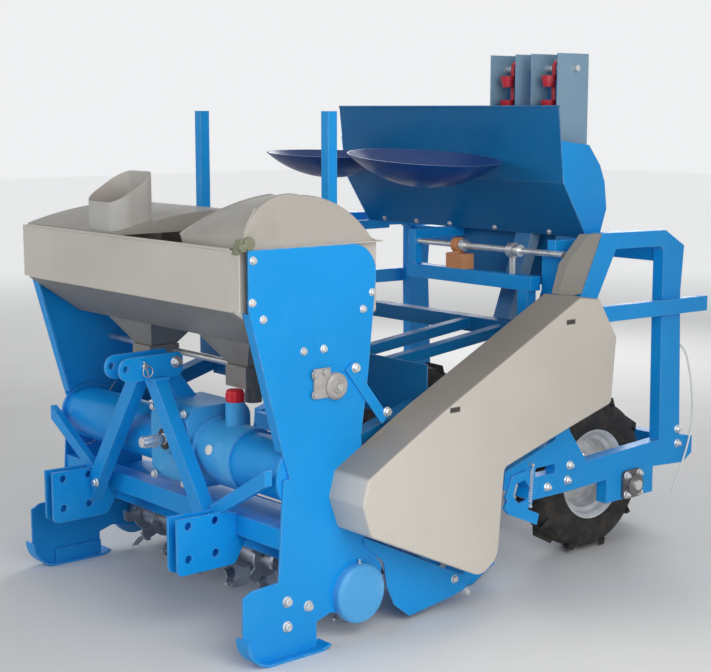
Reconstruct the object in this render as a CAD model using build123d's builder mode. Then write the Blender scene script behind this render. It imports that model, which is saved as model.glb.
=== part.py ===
import os
from math import cos, radians, sin

from build123d import *

# Two-row potato planter with a rotary tiller in front and a cup elevator seed hopper behind.
# Millimetres, +Z up, the tractor side is -Y and the machine's left side is +X.
# Inside the model a place is given as (x from the middle plane, y back from the hopper front, z).

# Main sizes
half_width = 700.0      # middle plane to the outer face of a side plate
plate = 8.0             # side plates, brackets and skids
sheet = 4.0             # hoppers and guards
thin = 3.0              # lids
running_fit = 0.05      # radial clearance of a shaft in its bore
middle = -35.0          # x of the middle plane, so that the machine's box is centred on the origin
front = -1163.0         # y of the fertilizer hopper's front
inside = half_width - plate

# Rotor
rotor_y = 470.0
rotor_z = 160.0
rotor_tube_r = 38.0
rotor_stub_r = 20.0
rotor_flange_r = 66.0
blade_r = 156.0
blade_width = 44.0
blade_rows = 10
blades_per_row = 4
row_turn = 23.0
hood_r = 196.0
bearing_r = 104.0

# Main tube and gearbox
tube_y = 250.0
tube_z = 600.0
tube_r = 100.0
gear_left = 200.0
gear_right = -30.0
gear_front = 130.0
gear_back = 400.0
gear_floor = 470.0
gear_roof = 760.0
drum_r = 112.0
input_x = 90.0
input_z = 640.0
input_r = 17.5
journal_r = 20.0

# Fertilizer hopper
fert_top = 1350.0
fert_lip = 1154.0       # lower edge of the front panel
fert_rear = 595.0
fert_rear_foot = 1110.0
fert_floor = 1010.0
fert_half = 655.0
outlet_x = 300.0
outlet_y = 330.0
meter_y = 373.0
meter_z = 885.0
meter_r = 12.0

# Seed hopper and elevators
seed_front = 1515.0
seed_top = 1793.0
seed_foot = 1291.0
seed_half = 640.0
tower_xs = (306.0, 520.0)
tower_width = 137.0
tower_front = 1560.0
tower_back = 1735.0
tower_top = 1990.0
chain_y = 1648.0
chain_top = 1935.0
chain_foot = 1560.0
sprocket_r = 30.7
sprocket_shaft_r = 12.0

# Side frames and wheels
frame_x = 760.0         # outer face of a side frame
frame_tube = 50.0
frame_in = frame_x - frame_tube
axle_y = 1844.0
axle_z = 320.0
axle_r = 20.0
wheel_x = 500.0
tyre_r = 320.0
tyre_half = 82.0
bead_r = 170.0
rim_half = 60.0
lug = 14.0
lug_count = 20

# Cross members
beam_y = 190.0
beam_z = 400.0
beam = 70.0
cross_y = 1490.0
cross_z = 935.0
stand_z = 1095.0
stand_bar = 55.0
feed_z = 1243.0
feed_r = 12.0
collar_r = 24.0
feed_ring_r = 29.0
block_top = 1210.0
under_foot = 1080.0
under_y = 1757.0

# Chain guard
guard_x = 875.0

side = Plane(origin=(middle, front, 0), x_dir=(0, 1, 0), z_dir=(1, 0, 0))
face = Plane(origin=(middle, front, 0), x_dir=(1, 0, 0), z_dir=(0, -1, 0))
top = Plane(origin=(middle, front, 0))
sides = (("left", 1), ("right", -1))


def at(x, y, z):
    """A place given from the middle plane, the hopper front and the ground."""
    return Vector(middle + x, front + y, z)


def save(piece, name):
    piece.label = name
    export_step(piece, f"parts/{name}.step")


def across(outline, x_from, x_to, mode=Mode.ADD):
    """A straight-sided outline in (y, z), extruded from one x to another."""
    with BuildSketch(side.offset(x_from)) as section:
        Polygon(*outline, align=None)
    extrude(section.sketch, amount=x_to - x_from, mode=mode)


def bar(y, z, depth, height, x_from, x_to, mode=Mode.ADD):
    """A rectangular bar along x, centred on (y, z)."""
    with BuildSketch(side.offset(x_from)) as section:
        with Locations((y, z)):
            Rectangle(depth, height)
    extrude(section.sketch, amount=x_to - x_from, mode=mode)


def round_bar(y, z, radius, x_from, x_to, mode=Mode.ADD):
    """A round bar or bore along x, centred on (y, z)."""
    with BuildSketch(side.offset(x_from)) as section:
        with Locations((y, z)):
            Circle(radius)
    extrude(section.sketch, amount=x_to - x_from, mode=mode)


def folded(path, x_from, x_to, mode=Mode.ADD):
    """Sheet folded along a path in (y, z), as wide as from one x to another."""
    with BuildSketch(side.offset(x_from)) as section:
        with BuildLine():
            Polyline(*path)
            offset(amount=sheet, side=Side.LEFT, kind=Kind.INTERSECTION)
        make_face()
    extrude(section.sketch, amount=x_to - x_from, mode=mode)


def upright(outline, y_from, y_to, mode=Mode.ADD):
    """A straight-sided outline in (x, z), extruded from one y to another."""
    with BuildSketch(face.offset(-y_from)) as section:
        Polygon(*outline, align=None)
    extrude(section.sketch, amount=y_from - y_to, mode=mode)


def column(x, y, width, depth, z_from, z_to, mode=Mode.ADD):
    """A rectangular column along z, centred on (x, y)."""
    with BuildSketch(top.offset(z_from)) as section:
        with Locations((x, y)):
            Rectangle(width, depth)
    extrude(section.sketch, amount=z_to - z_from, mode=mode)


os.makedirs("parts", exist_ok=True)

# Side plates: shaped sheet down to the skid's sole, with a folded front edge
sole_z = 8.0
toe_r = 95.0
toe_y = 90.0
heel_y = 295.0
fold_depth = 32.0
for name, sign in sides:
    with BuildPart() as side_plate:
        with BuildSketch(side.offset(sign * half_width)):
            with BuildLine():
                Polyline((30, fert_top), (440, fert_top - 4))
                ThreePointArc((440, fert_top - 4), (515, 1326), (554, 1270))
                Polyline((554, 1270), (556, 1233), (522, 909), (491, 702), (505, 340), (585, 230), (560, 112),
                         (470, 88), (354, 112), (heel_y, 94), (heel_y, sole_z), (toe_y, sole_z))
                RadiusArc((toe_y, sole_z), (toe_y - toe_r, sole_z + toe_r), toe_r)
                Polyline((toe_y - toe_r, sole_z + toe_r), (toe_y - toe_r, 237), (31, 256), (140, 262), (162, 598),
                         (186, 600), (145, 740), (30, 1163), (30, fert_top))
            make_face()
            with Locations((meter_y, meter_z)):
                Circle(meter_r + running_fit, mode=Mode.SUBTRACT)
            with Locations((rotor_y, rotor_z)):
                Circle(rotor_tube_r + 2, mode=Mode.SUBTRACT)
        extrude(amount=-sign * plate)
        across([(34, 1150), (42, 1150), (153, 742), (166, 694), (158, 692), (145, 740)],
               sign * inside, sign * (inside - fold_depth))
    save(side_plate.part, f"side_plate_{name}")

# Skids: a sole strip under each side plate, with an upturned toe and a flange bolted inside
sole_in = 24.0
sole_out = 34.0
flange_height = 62.0
for name, sign in sides:
    with BuildPart() as skid:
        with BuildSketch(side.offset(sign * (half_width + sole_out))):
            with BuildLine():
                RadiusArc((toe_y, 0), (toe_y - toe_r - sole_z, sole_z + toe_r), toe_r + sole_z)
                Line((toe_y - toe_r - sole_z, sole_z + toe_r), (toe_y - toe_r, sole_z + toe_r))
                RadiusArc((toe_y - toe_r, sole_z + toe_r), (toe_y, sole_z), -toe_r)
                Polyline((toe_y, sole_z), (heel_y, sole_z), (heel_y + 34, 20), (heel_y + 38, 12),
                         (heel_y + 4, 0), (toe_y, 0))
            make_face()
        extrude(amount=-sign * (sole_out + plate + sole_in))
        across([(toe_y, sole_z), (toe_y, flange_height), (heel_y, flange_height), (heel_y, sole_z)],
               sign * inside, sign * (inside - plate))
    save(skid.part, f"skid_{name}")

# One blade of each hand: a strip bent sideways at the tip, cut to a sickle outline
blade_foot = 46.0
bend_foot = 100.0
bend_x = 38.0
tip_x = 54.0
tip_r = 0.935 * blade_r
blade_thick = 8.0
blades = {}
for hand in (1, -1):
    with BuildPart() as blade:
        with BuildSketch(Plane.XZ):
            with BuildLine():
                Line((0, blade_foot), (0, bend_foot))
                RadiusArc((0, bend_foot), (hand * bend_x, tip_r - blade_thick), -hand * 40)
                Polyline((hand * bend_x, tip_r - blade_thick), (hand * tip_x, tip_r - blade_thick),
                         (hand * tip_x, tip_r), (hand * bend_x, tip_r))
                RadiusArc((hand * bend_x, tip_r), (-hand * blade_thick, bend_foot), hand * 48)
                Polyline((-hand * blade_thick, bend_foot), (-hand * blade_thick, blade_foot), (0, blade_foot))
            make_face()
        extrude(amount=80, both=True)
        with BuildSketch(Plane.YZ.offset(-60)):
            with BuildLine():
                Polyline((-blade_width / 2, blade_foot), (-blade_width / 2, 84))
                RadiusArc((-blade_width / 2, 84), (18, tip_r + 2), 86)
                Line((18, tip_r + 2), (50, tip_r + 2))
                RadiusArc((50, tip_r + 2), (blade_width / 2, 78), -90)
                Polyline((blade_width / 2, 78), (blade_width / 2, blade_foot), (-blade_width / 2, blade_foot))
            make_face()
        extrude(amount=120, mode=Mode.INTERSECT)
    blades[hand] = blade.part

# Rotor: tube with flanges that carry the blades, tips turned left and right in turn
rotor_half = inside - 14
row_inset = 70.0
flange_thick = 10.0
with BuildPart() as rotor:
    round_bar(rotor_y, rotor_z, rotor_tube_r, -rotor_half, rotor_half)
    round_bar(rotor_y, rotor_z, rotor_stub_r, -half_width - 30, half_width + 30)
    for row in range(blade_rows):
        x = -rotor_half + row_inset + row * 2 * (rotor_half - row_inset) / (blade_rows - 1)
        round_bar(rotor_y, rotor_z, rotor_flange_r, x - flange_thick / 2, x + flange_thick / 2)
        for blade in range(blades_per_row):
            hand = 1 if blade % 2 else -1
            turn = 360 / blades_per_row * blade + row * row_turn
            seat = x + hand * (flange_thick / 2 + blade_thick)
            with Locations(Location(at(seat, rotor_y, rotor_z), (turn, 0, 0))):
                add(blades[hand])
save(rotor.part, "rotor")

# Rotor end bearings: round castings on the outside of the side plates
with BuildPart() as rotor_bearings:
    for name, sign in sides:
        round_bar(rotor_y, rotor_z, bearing_r, sign * half_width, sign * (half_width + 34))
    rounded = rotor_bearings.edges().filter_by(GeomType.CIRCLE).group_by(Axis.X)
    fillet(rounded[0] + rounded[-1], 14)
    round_bar(rotor_y, rotor_z, rotor_stub_r + running_fit, -half_width - 32, half_width + 32, Mode.SUBTRACT)
save(rotor_bearings.part, "rotor_bearings")

# Rotor hood: rolled sheet over the blades
hood_back = 25.0
hood_sweep = 125.0
with BuildPart() as rotor_hood:
    with BuildSketch(side.offset(-inside)):
        with BuildLine():
            CenterArc((rotor_y, rotor_z), hood_r, hood_back, hood_sweep)
            offset(amount=sheet, side=Side.RIGHT)
        make_face()
    extrude(amount=2 * inside)
save(rotor_hood.part, "rotor_hood")

# Tail board behind the hood, with a triangular cheek on each side plate
with BuildPart() as tail_board:
    across([(684, 282), (930, 106), (985, 88), (985, 94), (932, 112), (687, 287)], -half_width, half_width)
    for name, sign in sides:
        across([(500, 345), (1010, 95), (985, 60), (920, 45), (710, 20), (640, 75), (605, 150), (590, 240),
                (500, 318)], sign * half_width, sign * (half_width + 6))
save(tail_board.part, "tail_board")

# Main tube across the machine, in one piece on each side of the gearbox drum
with BuildPart() as main_tube:
    round_bar(tube_y, tube_z, tube_r, -inside, inside)
    round_bar(tube_y, tube_z, tube_r + 12, -inside, -inside + 12)
    round_bar(tube_y, tube_z, tube_r + 12, inside, inside - 12)
save(main_tube.part, "main_tube")

# Gearbox: cast housing round the main tube, with a drum, a riser and a filler cap seat
riser_x = 316.0
riser_top = 790.0
boss_depth = 24.0
journal_depth = 16.0
with BuildPart() as gearbox:
    with BuildSketch(side.offset(gear_right)):
        with Locations(((gear_front + gear_back) / 2, (gear_floor + gear_roof) / 2)):
            RectangleRounded(gear_back - gear_front, gear_roof - gear_floor, 60)
    extrude(amount=gear_left - gear_right)
    round_bar(tube_y, tube_z, drum_r + 10, gear_left, gear_left + 25)
    round_bar(tube_y, tube_z, drum_r, gear_left + 25, gear_left + 220)
    with BuildSketch(top.offset(tube_z)):
        with Locations((riser_x, tube_y)):
            Circle(34)
    extrude(amount=riser_top - tube_z)
    with BuildSketch(face.offset(-gear_front)):
        with Locations((input_x, input_z)):
            Circle(50)
    extrude(amount=boss_depth)
    round_bar(tube_y, tube_z, tube_r + 0.3, gear_right, gear_left + 220, Mode.SUBTRACT)
    with BuildSketch(face.offset(-gear_front + boss_depth)):
        with Locations((input_x, input_z)):
            Circle(journal_r + running_fit)
    extrude(amount=-(boss_depth + journal_depth + 2), mode=Mode.SUBTRACT)
save(gearbox.part, "gearbox")

# Input shaft: a stub for the tractor's drive shaft on a thicker journal
stub_length = 90.0
with BuildPart() as input_shaft:
    with BuildSketch(face.offset(-gear_front - journal_depth)):
        with Locations((input_x, input_z)):
            Circle(journal_r)
    extrude(amount=journal_depth + boss_depth + 4)
    with BuildSketch(face.offset(-gear_front + boss_depth + 4)):
        with Locations((input_x, input_z)):
            Circle(input_r)
    extrude(amount=stub_length)
save(input_shaft.part, "input_shaft")

# Floor of the fertilizer hopper with its two chutes
chute_drop = 100.0
chute_mouth = 110.0
floor_front = 210.0
floor_back = 450.0
floor_path = [(0, fert_lip), (floor_front, fert_floor), (floor_back, fert_floor), (fert_rear, fert_rear_foot)]
with BuildPart() as hopper_chutes:
    folded(floor_path, -fert_half, fert_half)
    for x in (-outlet_x, outlet_x):
        with BuildSketch(top.offset(fert_floor)):
            with Locations((x, outlet_y)):
                Rectangle(2.7 * chute_mouth, 2.1 * chute_mouth)
        with BuildSketch(top.offset(fert_floor - chute_drop)):
            with Locations((x, outlet_y)):
                Rectangle(chute_mouth, chute_mouth)
        loft()
    for x in (-outlet_x, outlet_x):
        with BuildSketch(top.offset(fert_floor + sheet)):
            with Locations((x, outlet_y)):
                Rectangle(2.7 * chute_mouth - 2 * sheet, 2.1 * chute_mouth - 2 * sheet)
        with BuildSketch(top.offset(fert_floor - chute_drop)):
            with Locations((x, outlet_y)):
                Rectangle(chute_mouth - 2 * sheet, chute_mouth - 2 * sheet)
        loft(mode=Mode.SUBTRACT)
save(hopper_chutes.part, "hopper_chutes")

# Fertilizer hopper: front panel, ends and rear sheet on that floor, with a flange all round
with BuildPart() as fertilizer_hopper:
    across([(0, fert_top), *floor_path, (fert_rear, fert_top)], -fert_half, fert_half)
    across([(sheet, fert_top), (sheet, fert_lip - 20), (floor_front, fert_floor - 20), (floor_back, fert_floor - 20),
            (fert_rear - sheet, fert_rear_foot - 20), (fert_rear - sheet, fert_top)],
           -fert_half + sheet, fert_half - sheet, Mode.SUBTRACT)
    folded(floor_path, -fert_half, fert_half, Mode.SUBTRACT)
    upright([(-inside, fert_top), (inside, fert_top), (inside, fert_lip + 5), (-inside, fert_lip + 5)], 0, sheet)
    with BuildSketch(top.offset(fert_top - sheet)):
        with Locations((0, fert_rear / 2)):
            Rectangle(2 * inside, fert_rear)
            Rectangle(2 * (fert_half - sheet), fert_rear - 2 * sheet, mode=Mode.SUBTRACT)
    extrude(amount=sheet)
save(fertilizer_hopper.part, "fertilizer_hopper")

# Metering boxes under the chutes, and the shaft that drives them
meter_top = fert_floor - chute_drop
with BuildPart() as metering_boxes:
    for x in (-outlet_x, outlet_x):
        column(x, outlet_y, 118, 130, meter_top, meter_top - 75)
        with BuildSketch(top.offset(meter_top - 75)):
            with Locations((x, outlet_y + 10)):
                Circle(30)
        extrude(amount=-60)
    round_bar(meter_y, meter_z, meter_r + running_fit, -half_width, half_width, Mode.SUBTRACT)
save(metering_boxes.part, "metering_boxes")

with BuildPart() as metering_shaft:
    round_bar(meter_y, meter_z, meter_r, -half_width - 12, half_width + 33)
save(metering_shaft.part, "metering_shaft")

# Left lid: arched, higher and fuller at its outer end, open toward the middle
lid_front = 20.0
lid_back = 556.0
lid_end = 690.0
lid_mouth = 355.0
lid_round = 8.0
lid_inset = 5.0


def lid_section(x, foot, crown, shoulder, inset=0.0):
    """Arched section from the front foot over the crown to the hinge line."""
    with BuildSketch(side.offset(x)) as section:
        with BuildLine():
            Line((lid_front, fert_top), foot)
            ThreePointArc(foot, crown[0], crown[1])
            ThreePointArc(crown[1], shoulder, (lid_back, fert_top))
            Line((lid_back, fert_top), (lid_front, fert_top))
        make_face()
        if inset:
            offset(amount=-inset)
            with Locations(((lid_front + lid_back) / 2, fert_top)):
                Rectangle(lid_back - lid_front - 2 * inset, 2 * inset)
    return section.sketch


outer_end = ((24, 1400), ((85, 1484), (244, 1514)), (415, 1470))
outer_mouth = ((12, 1380), ((150, 1443), (379, 1494)), (490, 1440))
with BuildPart() as lid_left:
    loft([lid_section(lid_end, *outer_end), lid_section(lid_mouth, *outer_mouth)], ruled=True)
    rim_edges = lid_left.faces().sort_by(Axis.X)[-1].edges().filter_by(GeomType.CIRCLE)
    fillet(rim_edges, lid_round)
    loft([lid_section(lid_end - lid_round, *outer_end, inset=lid_inset),
          lid_section(lid_mouth, *outer_mouth, inset=lid_inset)], ruled=True, mode=Mode.SUBTRACT)
save(lid_left.part, "lid_left")

# Right lid: low, rising toward the hinge
low_end = ((lid_front, 1356), ((255, 1408), (500, 1420)), (538, 1396))
with BuildPart() as lid_right:
    extrude(lid_section(-lid_end, *low_end), amount=lid_end - 40)
    extrude(lid_section(-lid_end + thin, *low_end, inset=thin), amount=lid_end - 40 - 2 * thin, mode=Mode.SUBTRACT)
save(lid_right.part, "lid_right")

# Loose plastic shroud that lies on the right lid: a band with its foot cut to the lid
shroud_x = -175.0
shroud_y = 112.0
shroud_wall = 3.0
with BuildPart() as loose_shroud:
    with BuildSketch(top.offset(fert_top)):
        with Locations((shroud_x, shroud_y)):
            RectangleRounded(230, 174, 62)
            RectangleRounded(230 - 2 * shroud_wall, 174 - 2 * shroud_wall, 59, mode=Mode.SUBTRACT)
    extrude(amount=230)
    across([(24, 1458), (200, 1564), (200, 1700), (24, 1700)], shroud_x - 130, shroud_x + 130, Mode.SUBTRACT)
    extrude(lid_section(-lid_end, *low_end), amount=lid_end - 40, mode=Mode.SUBTRACT)
save(loose_shroud.part, "loose_shroud")

# Marker posts behind the fertilizer hopper: folded channels
post_x = 385.0
with BuildPart() as posts:
    for name, sign in sides:
        column(sign * post_x, fert_rear + 20, 38, 40, 1200, 1775)
        column(sign * post_x, fert_rear + 24, 30, 36, 1200, 1775, Mode.SUBTRACT)
save(posts.part, "posts")

# Mast: two legs from the lower hitch brackets to a head with ears
bracket_in = 380.0
bracket_gap = 52.0
leg_top = 848.0
leg_front = 75.0
leg_back = 125.0
for name, sign in sides:
    with BuildPart() as mast_leg:
        upright([(sign * 18, leg_top), (sign * 88, leg_top), (sign * bracket_in, 423), (sign * bracket_in, 321)],
                leg_front, leg_back)
    save(mast_leg.part, f"mast_leg_{name}")

ear_gap = 80.0
ear = 12.0
top_pin_r = 12.7
top_pin_y = -20.0
top_pin_z = 896.0
with BuildPart() as mast_head:
    for x in (-ear_gap / 2 - ear, ear_gap / 2):
        with BuildSketch(side.offset(x)):
            with BuildLine():
                Polyline((0, leg_top), (196, leg_top), (215, 866), (215, 918), (200, 935), (0, 933))
                ThreePointArc((0, 933), (-45, 890), (0, leg_top))
            make_face()
            with Locations((top_pin_y, top_pin_z)):
                Circle(top_pin_r, mode=Mode.SUBTRACT)
        extrude(amount=ear)
    bar(100, leg_top + 5, 60, 10, -95, 95)
    bar(188, 893, 34, 50, -ear_gap / 2, ear_gap / 2)
    across([(152, 880), (204, 880), (300, gear_roof), (215, gear_roof)], -9, 9)
save(mast_head.part, "mast_head")

# Lower hitch: cross beam, brackets with a square of link holes, and arms up to the side plates
link_r = 14.35
link_holes = ((-36, 427), (72, 428), (-36, 314), (72, 316))
with BuildPart() as link_brackets:
    for name, sign in sides:
        for x in (bracket_in, bracket_in + bracket_gap):
            with BuildSketch(side.offset(sign * x)) as bracket:
                Polygon((-80, 262), (-80, 456), (105, 452), (216, 424), (216, 368), (150, 262), align=None)
                fillet(bracket.vertices().sort_by(Axis.Y)[:2], 22)
                with Locations(*link_holes):
                    Circle(link_r, mode=Mode.SUBTRACT)
            extrude(amount=sign * 10)
save(link_brackets.part, "link_brackets")

with BuildPart() as lower_hitch:
    bar(beam_y, beam_z, beam, beam, -inside, inside)
    for name, sign in sides:
        upright([(sign * bracket_in, 270), (sign * bracket_in, 430), (sign * (bracket_in + 62), 430),
                 (sign * (bracket_in + 62), 270)], 130, beam_y - beam / 2)
        upright([(sign * bracket_in, 415), (sign * bracket_in, 462), (sign * inside, 640), (sign * inside, 588)],
                92, 120)
    add(link_brackets.part, mode=Mode.SUBTRACT)
save(lower_hitch.part, "lower_hitch")

# Side frames: lower bar, posts and a hoop, cut from one closed outline, with a clamp ring in front
frame_outer = [(1125, 415), (1270, 350), (1480, 350), (1700, 358), (1700, 262), (1985, 262), (1985, 366),
               (2180, 352), (2235, 385), (2235, 455), (2150, 470), (2125, 1060), (2140, 1245), (2020, 1312),
               (1640, 1320), (1530, 1100), (1500, 1040), (1400, 1000), (1400, 562), (1130, 480)]
frame_window = [(1577, 451), (2020, 470), (2010, 980), (2010, 1235), (1990, 1250), (1720, 1256), (1620, 1080),
                (1590, 1000), (1475, 900), (1475, 588)]
arm_z = (975, 1045)
clamp_y = 1205.0
clamp_z = 396.0
clamp_r = 84.0
clamp_hole_r = 46.0
for name, sign in sides:
    with BuildPart() as side_frame:
        with BuildSketch(side.offset(sign * frame_x)):
            Polygon(*frame_outer, align=None)
            Polygon(*frame_window, align=None, mode=Mode.SUBTRACT)
            with Locations((axle_y, axle_z)):
                Circle(axle_r + 15, mode=Mode.SUBTRACT)
        extrude(amount=-sign * frame_tube)
        across([(1125, 415), (1270, 350), (1480, 350), (1480, 480), (1130, 480)],
               sign * (frame_in + 6), sign * (frame_in + 12))
        with BuildSketch(side.offset(sign * frame_x)):
            with Locations((clamp_y, clamp_z)):
                RegularPolygon(clamp_hole_r, 6, rotation=8)
            with Locations((1345, 452)):
                RectangleRounded(110, 34, 8)
        extrude(amount=-sign * frame_tube, mode=Mode.SUBTRACT)
        across([(1620, arm_z[0] + 10), (2265, arm_z[0]), (2265, arm_z[1] - 10), (1620, arm_z[1])],
               sign * frame_x, sign * (frame_x + 30))
        with BuildSketch(side.offset(sign * frame_x)):
            with Locations((clamp_y, clamp_z)):
                RegularPolygon(clamp_r, 6, rotation=8)
                RegularPolygon(clamp_hole_r, 6, rotation=8, mode=Mode.SUBTRACT)
            Polygon((1118, 345), (1126, 372), (1215, 335), (1302, 296), (1290, 256), (1140, 322), align=None)
        extrude(amount=sign * 12)
    save(side_frame.part, f"side_frame_{name}")

# Upper frame: diagonal beams from the main tube to a cross tube between the side frames
diagonal_x = 600.0
diagonal_rise = (cross_z - tube_z) / (cross_y - 300)
with BuildPart() as upper_frame:
    bar(cross_y, cross_z, 60, 60, -frame_in, frame_in)
    for name, sign in sides:
        across([(300, tube_z - 30), (300, tube_z + 30), (cross_y, cross_z + 30), (cross_y, cross_z - 30)],
               sign * diagonal_x, sign * (diagonal_x + 60))
    round_bar(tube_y, tube_z, tube_r + 0.3, -inside, inside, Mode.SUBTRACT)
    for x in (200, 420):
        across([(804, 850), (804, 890), (cross_y - 30, cross_z + 25), (cross_y - 30, cross_z - 15)], x, x + 40)
save(upper_frame.part, "upper_frame")

# Cross panel: transverse sheet that stands on the diagonals in front of the seed hopper's stand
panel_y = 800.0
panel_foot = tube_z + 30 + (panel_y + sheet - 300) * diagonal_rise
with BuildPart() as cross_panel:
    across([(panel_y, panel_foot), (panel_y, 905), (panel_y + sheet, 905), (panel_y + sheet, panel_foot)],
           -inside, inside)
    across([(panel_y, 700), (panel_y, 905), (panel_y + sheet, 905), (panel_y + sheet, 700)],
           -diagonal_x, diagonal_x)
save(cross_panel.part, "cross_panel")

# Cross tubes between the side frames
cross_tubes = (("rear_cross_tube", 2060, 1215, 60), ("tool_bar", 1135, 440, 70))
for name, y, z, size in cross_tubes:
    with BuildPart() as cross_tube:
        bar(y, z, size, size, -frame_in, frame_in)
    save(cross_tube.part, name)

# Seed hopper: trough of folded sheet, tall in front, open for the drop tubes in its floor
trough = [(seed_front, seed_top), (1550, 1506), (1690, seed_foot), (1760, seed_foot), (1800, 1400), (1785, 1505),
          (1756, 1569)]
drop_half = 41.7
drop_front = 1694.0
drop_back = 1750.0
with BuildPart() as seed_hopper:
    folded(trough, -seed_half + sheet, seed_half - sheet)
    for x in tower_xs:
        column(x, (drop_front + drop_back) / 2, 2 * drop_half - 2 * sheet, drop_back - drop_front - 2 * sheet,
               seed_foot - 1, seed_foot + 2 * sheet, Mode.SUBTRACT)
save(seed_hopper.part, "seed_hopper")

with BuildPart() as seed_hopper_ends:
    for name, sign in sides:
        across([(1531, 1664), *trough[1:], (1689, 1647)], sign * (seed_half - sheet), sign * seed_half)
save(seed_hopper_ends.part, "seed_hopper_ends")

# Stand of the seed hopper: cross bar with a post, a leg and arms, and a gusset to each side frame
stand_top = stand_z + stand_bar
post_at = -115.0
leg_at = 515.0
gusset_y = 1530.0
arm_front = cross_y + 20
with BuildPart() as seed_hopper_stand:
    bar(cross_y, stand_z + stand_bar / 2, stand_bar, stand_bar, post_at - 20, 560)
    column(post_at, cross_y, 40, 40, stand_top, seed_foot)
    column(leg_at, cross_y, 50, 50, cross_z + 30, stand_z)
    for x in (post_at, -seed_half + 20, seed_half - 20):
        bar((arm_front + 1780) / 2, seed_foot - 20, 1780 - arm_front, 40, x - 20, x + 20)
    for name, sign in sides:
        upright([(sign * 555, 1080), (sign * frame_in, 1080), (sign * frame_in, 1251), (sign * 555, 1251)],
                gusset_y, gusset_y + 10)
    round_bar(cross_y, feed_z, feed_r + running_fit, post_at - 20, post_at + 20, Mode.SUBTRACT)
save(seed_hopper_stand.part, "seed_hopper_stand")

# Feed shaft along that stand, turning in a bearing block and in a ring on a thin leg
with BuildPart() as feed_shaft:
    round_bar(cross_y, feed_z, feed_r, post_at - 30, half_width - 2)
    for x in (160, 460):
        round_bar(cross_y, feed_z, collar_r, x, x + 20)
save(feed_shaft.part, "feed_shaft")

with BuildPart() as feed_bearing:
    bar(cross_y, (stand_top + block_top) / 2, stand_bar, block_top - stand_top, 96, 200)
    round_bar(cross_y, feed_z, feed_ring_r, 122, 154)
    bar(cross_y, (block_top + feed_z) / 2, 30, feed_z - block_top, 122, 154)
    round_bar(cross_y, feed_z, feed_r + running_fit, 122, 154, Mode.SUBTRACT)
save(feed_bearing.part, "feed_bearing")

with BuildPart() as feed_support:
    bar(cross_y, (stand_top + feed_z) / 2, 12, feed_z - stand_top, 428, 448)
    round_bar(cross_y, feed_z, feed_ring_r, 424, 452)
    round_bar(cross_y, feed_z, feed_r + running_fit, 424, 452, Mode.SUBTRACT)
save(feed_support.part, "feed_support")

# Sheet that hangs behind the feed shaft, under the floor of the seed hopper
with BuildPart() as under_sheet:
    bar(under_y, (under_foot + seed_foot) / 2, sheet, seed_foot - under_foot, -160, 600)
    bar(under_y + 10, under_foot + sheet / 2, 24, sheet, -160, 600)
    bar(under_y, seed_foot - 20, 2 * sheet, 40, post_at - 21, post_at + 21, Mode.SUBTRACT)
save(under_sheet.part, "under_sheet")

# Dished lips in front of the seed hopper, pressed as part of a sphere
lip_thick = 6.0
lip_shapes = ((205, 1238, 300, 115, 5), (-393, 1268, 270, 100, 2))
lip_z = 1600.0
with BuildPart() as hopper_lips:
    for x, y, rim, depth, tilt in lip_shapes:
        ball = (rim ** 2 + depth ** 2) / (2 * depth)
        with BuildPart(mode=Mode.PRIVATE) as lip:
            with Locations((0, 0, ball - depth)):
                Sphere(ball)
                Sphere(ball - lip_thick, mode=Mode.SUBTRACT)
            split(bisect_by=Plane.XY, keep=Keep.BOTTOM)
        with Locations(Location(at(x, y, lip_z), (0, tilt, 0))):
            add(lip.part)
save(hopper_lips.part, "hopper_lips")

# Axle with its flange bearings, and the two wheels
with BuildPart() as axle:
    round_bar(axle_y, axle_z, axle_r, -frame_x - 45, frame_x + 45)
save(axle.part, "axle")

with BuildPart() as axle_bearings:
    for name, sign in sides:
        with BuildSketch(side.offset(sign * frame_x)):
            with Locations((axle_y, axle_z)):
                RectangleRounded(112, 112, 18)
        extrude(amount=sign * 14)
        round_bar(axle_y, axle_z, 42, sign * (frame_x + 14), sign * (frame_x + 32))
        round_bar(axle_y, axle_z, axle_r + running_fit, sign * frame_x, sign * (frame_x + 32), Mode.SUBTRACT)
save(axle_bearings.part, "axle_bearings")

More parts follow.
